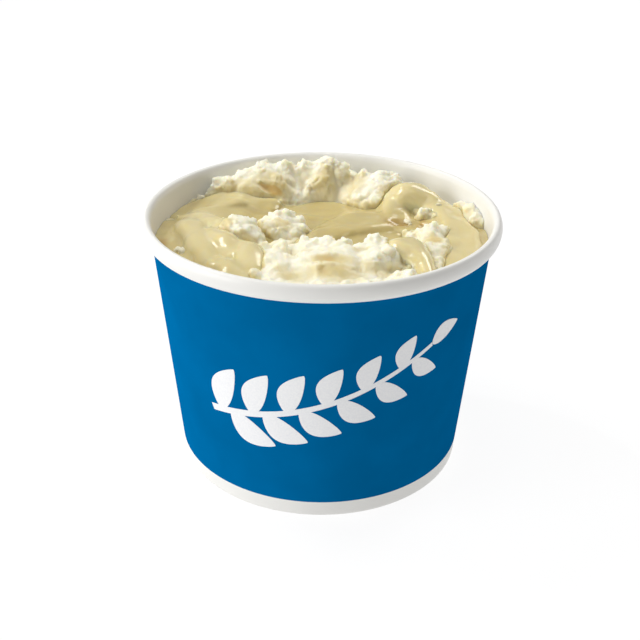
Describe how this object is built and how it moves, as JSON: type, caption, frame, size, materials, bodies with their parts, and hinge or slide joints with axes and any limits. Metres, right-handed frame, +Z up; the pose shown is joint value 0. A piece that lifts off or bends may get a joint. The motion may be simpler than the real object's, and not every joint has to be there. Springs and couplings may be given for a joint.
{
  "type": "mashed potato side",
  "caption": "Round tapered paper food cup with a rolled rim, filled with rough mashed potato and topped with streams of pale gravy.",
  "frame": {"origin": "centre of the cup's foot ring, on the surface it stands on", "axes": "+Z up along the cup's axis, -Y towards the front of the serving, +X to its right"},
  "size_m": [0.09, 0.09, 0.0696],
  "materials": {
    "printed_paper": "coated board, printed on its outside, white rim and lower edge",
    "white_paper": "coated board",
    "mashed_potato": "moist, crumbly",
    "gravy": "wet, glossy"
  },
  "bodies": {
    "root": {"cup_wall": "printed_paper", "cup_floor": "white_paper", "mashed_potato": "mashed_potato", "gravy": "gravy"}
  },
  "joints": []
}
